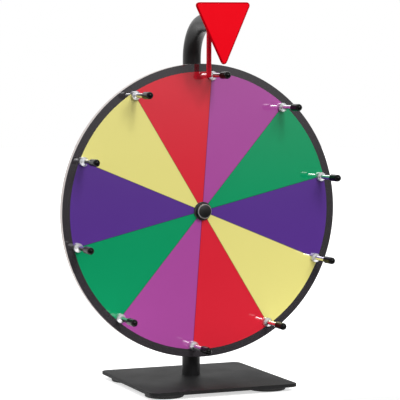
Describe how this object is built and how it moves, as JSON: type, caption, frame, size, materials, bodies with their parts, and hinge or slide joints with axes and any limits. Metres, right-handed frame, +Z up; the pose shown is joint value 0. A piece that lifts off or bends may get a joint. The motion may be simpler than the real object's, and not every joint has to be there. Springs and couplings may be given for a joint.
{
  "type": "carnival game wheel",
  "caption": "Tabletop prize wheel: a colour-segmented spinning disc with chrome pegs, a bent tube stand on a flat base, a red pointer and a flexible red clicker.",
  "frame": {"origin": "on the ground under the middle of the base plate", "axes": "+Z up; the wheel faces -Y and its axle lies along Y; +X is the wheel's right side seen from its front"},
  "size_m": [0.3048, 0.1544, 0.3967],
  "materials": {
    "powder_coat": "satin textured black powder coat",
    "pad_rubber": "matte black rubber",
    "zinc_steel": "zinc plated",
    "black_plastic": "moulded black plastic",
    "tape": "white foam adhesive tape",
    "pointer_red": "opaque red sheet plastic",
    "flapper_red": "soft red plastic",
    "bearing_steel": "ground bearing steel",
    "cage_brass": "pressed cage",
    "board_white": "white foamed plastic board",
    "film_dark": "glossy printed film, dark grey",
    "film_green": "glossy printed film, green",
    "film_magenta": "glossy printed film, magenta",
    "film_red": "glossy printed film, red",
    "film_yellow": "glossy printed film, pale yellow",
    "film_violet": "glossy printed film, violet",
    "peg_chrome": "polished chrome",
    "cap_rubber": "glossy black rubber",
    "cap_plastic": "black plastic"
  },
  "bodies": {
    "stand": {"base_plate": "powder_coat", "foot_pads": "pad_rubber", "base_screw": "zinc_steel", "base_washer": "zinc_steel", "tube_insert": "zinc_steel", "neck_tube": "powder_coat", "end_plug": "black_plastic", "pointer_tape": "tape", "pointer_plate": "pointer_red", "flapper_root": "flapper_red", "axle_bolt": "zinc_steel", "saddle_washer": "black_plastic", "saddle_spacer": "zinc_steel", "bearing_inner_rings": "bearing_steel", "ring_spacer": "zinc_steel", "face_sleeve": "zinc_steel", "hub_washer": "black_plastic", "axle_nut": "zinc_steel", "hub_cap": "cap_plastic"},
    "wheel": {"hub_flange": "black_plastic", "hub_screws": "zinc_steel", "bearing_outer_rings": "bearing_steel", "wheel_board": "board_white", "rim_band": "film_dark", "wedges_green": "film_green", "wedges_magenta": "film_magenta", "wedges_red": "film_red", "wedges_yellow": "film_yellow", "wedges_violet": "film_violet", "peg_posts": "peg_chrome", "peg_caps": "cap_rubber", "peg_washers": "zinc_steel", "peg_nuts": "zinc_steel"},
    "ball_train": {"bearing_balls": "bearing_steel", "bearing_cages": "cage_brass"},
    "flapper": {"flapper_finger": "flapper_red"}
  },
  "joints": [
    {"name": "wheel_spin", "type": "hinge", "parent": "stand", "child": "wheel", "pos_m": [0, -0.0124, 0.1835], "axis": [0, 1, 0], "continuous": true},
    {"name": "ball_orbit", "type": "hinge", "parent": "stand", "child": "ball_train", "pos_m": [0, -0.0124, 0.1835], "axis": [0, 1, 0], "continuous": true},
    {"name": "flapper_flex", "type": "hinge", "parent": "stand", "child": "flapper", "pos_m": [0, -0.0285, 0.365], "axis": [0, 1, 0], "range_deg": [-35, 35], "stiffness_Nm_per_rad": 0.02, "deforming": ["flapper_finger"]}
  ],
  "couplings": [
    {"joint": "ball_orbit", "follows": "wheel_spin", "ratio": 0.6333}
  ]
}
